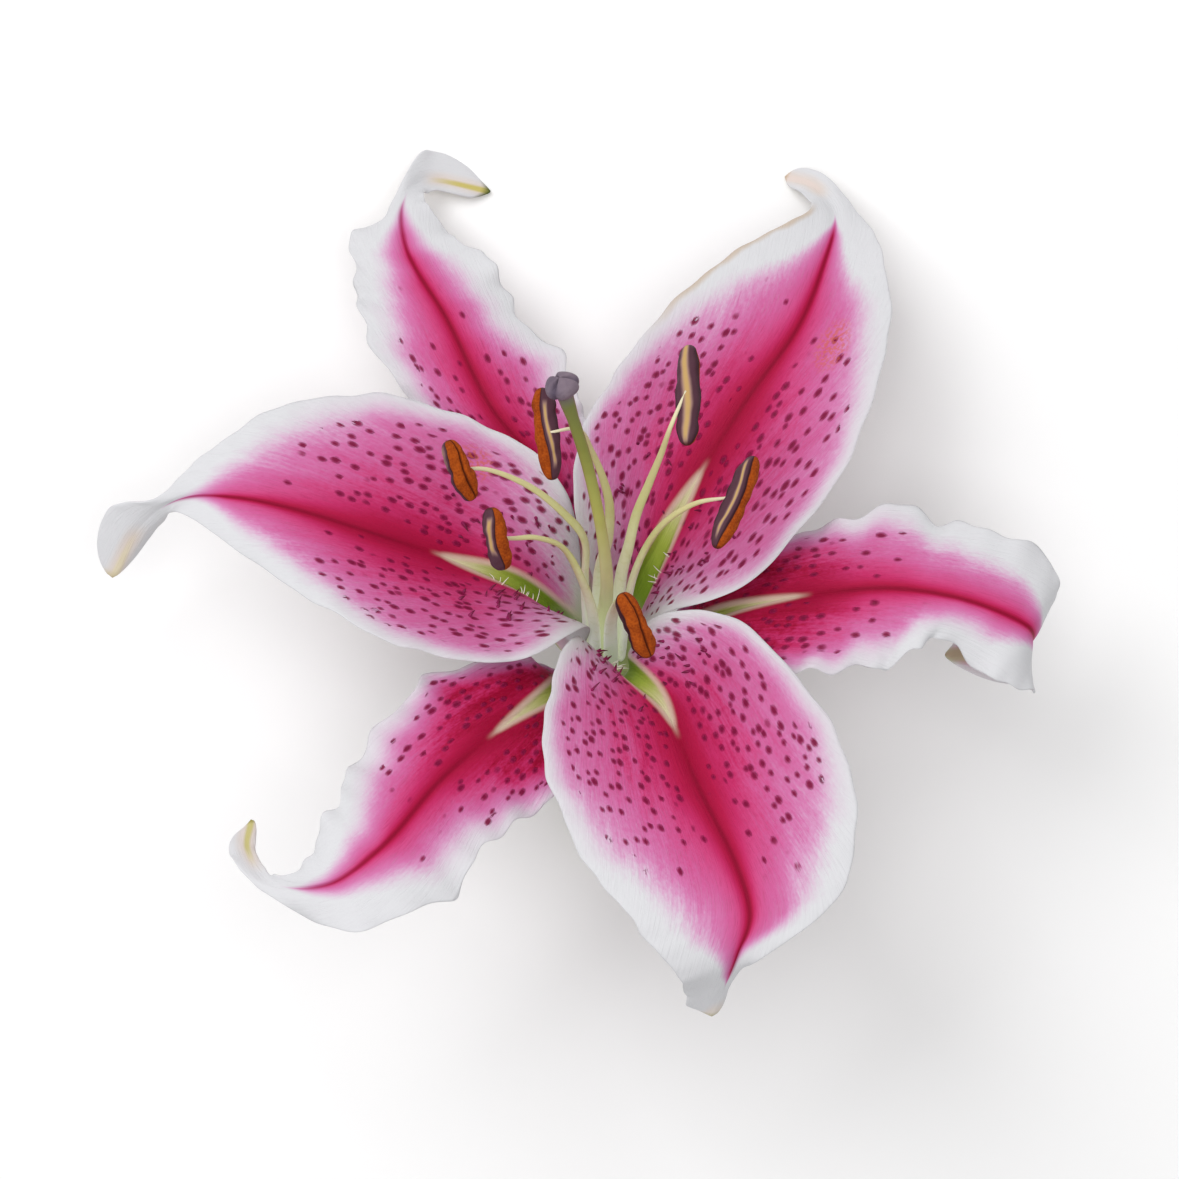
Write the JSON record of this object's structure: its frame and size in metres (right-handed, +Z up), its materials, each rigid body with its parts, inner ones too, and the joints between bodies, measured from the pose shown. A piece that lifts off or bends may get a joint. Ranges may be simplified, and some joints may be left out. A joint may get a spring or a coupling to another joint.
{
  "type": "cut lily bloom",
  "caption": "Open oriental lily bloom with recurved, ruffled tepals, spreading stamens and a curved pistil, on a short cut stalk, lying face up.",
  "frame": {"origin": "on the resting surface, under the middle of the bloom's outline", "axes": "+Z up from the surface, +X across the bloom to the right as it is looked down on, +Y towards the upper tepals, away from the cut stalk"},
  "size_m": [0.1818, 0.1652, 0.0933],
  "materials": {
    "inner_tepal": "satin petal, pink with a white margin",
    "outer_tepal": "satin petal, crimson-pink with a white margin",
    "filament": "smooth pale yellow-green",
    "anther": "powdery rust-orange pollen",
    "pistil": "smooth olive green, stigma grey-purple",
    "stalk": "waxy green"
  },
  "bodies": {
    "root": {"pedicel": "stalk", "inner_tepal_left": "inner_tepal", "inner_tepal_upper_right": "inner_tepal", "inner_tepal_bottom": "inner_tepal", "outer_tepal_upper_left": "outer_tepal", "outer_tepal_right": "outer_tepal", "outer_tepal_lower_left": "outer_tepal", "filament_1": "filament", "filament_2": "filament", "filament_3": "filament", "filament_4": "filament", "filament_5": "filament", "filament_6": "filament", "anther_1": "anther", "anther_2": "anther", "anther_3": "anther", "anther_4": "anther", "anther_5": "anther", "anther_6": "anther", "pistil": "pistil"}
  },
  "joints": []
}
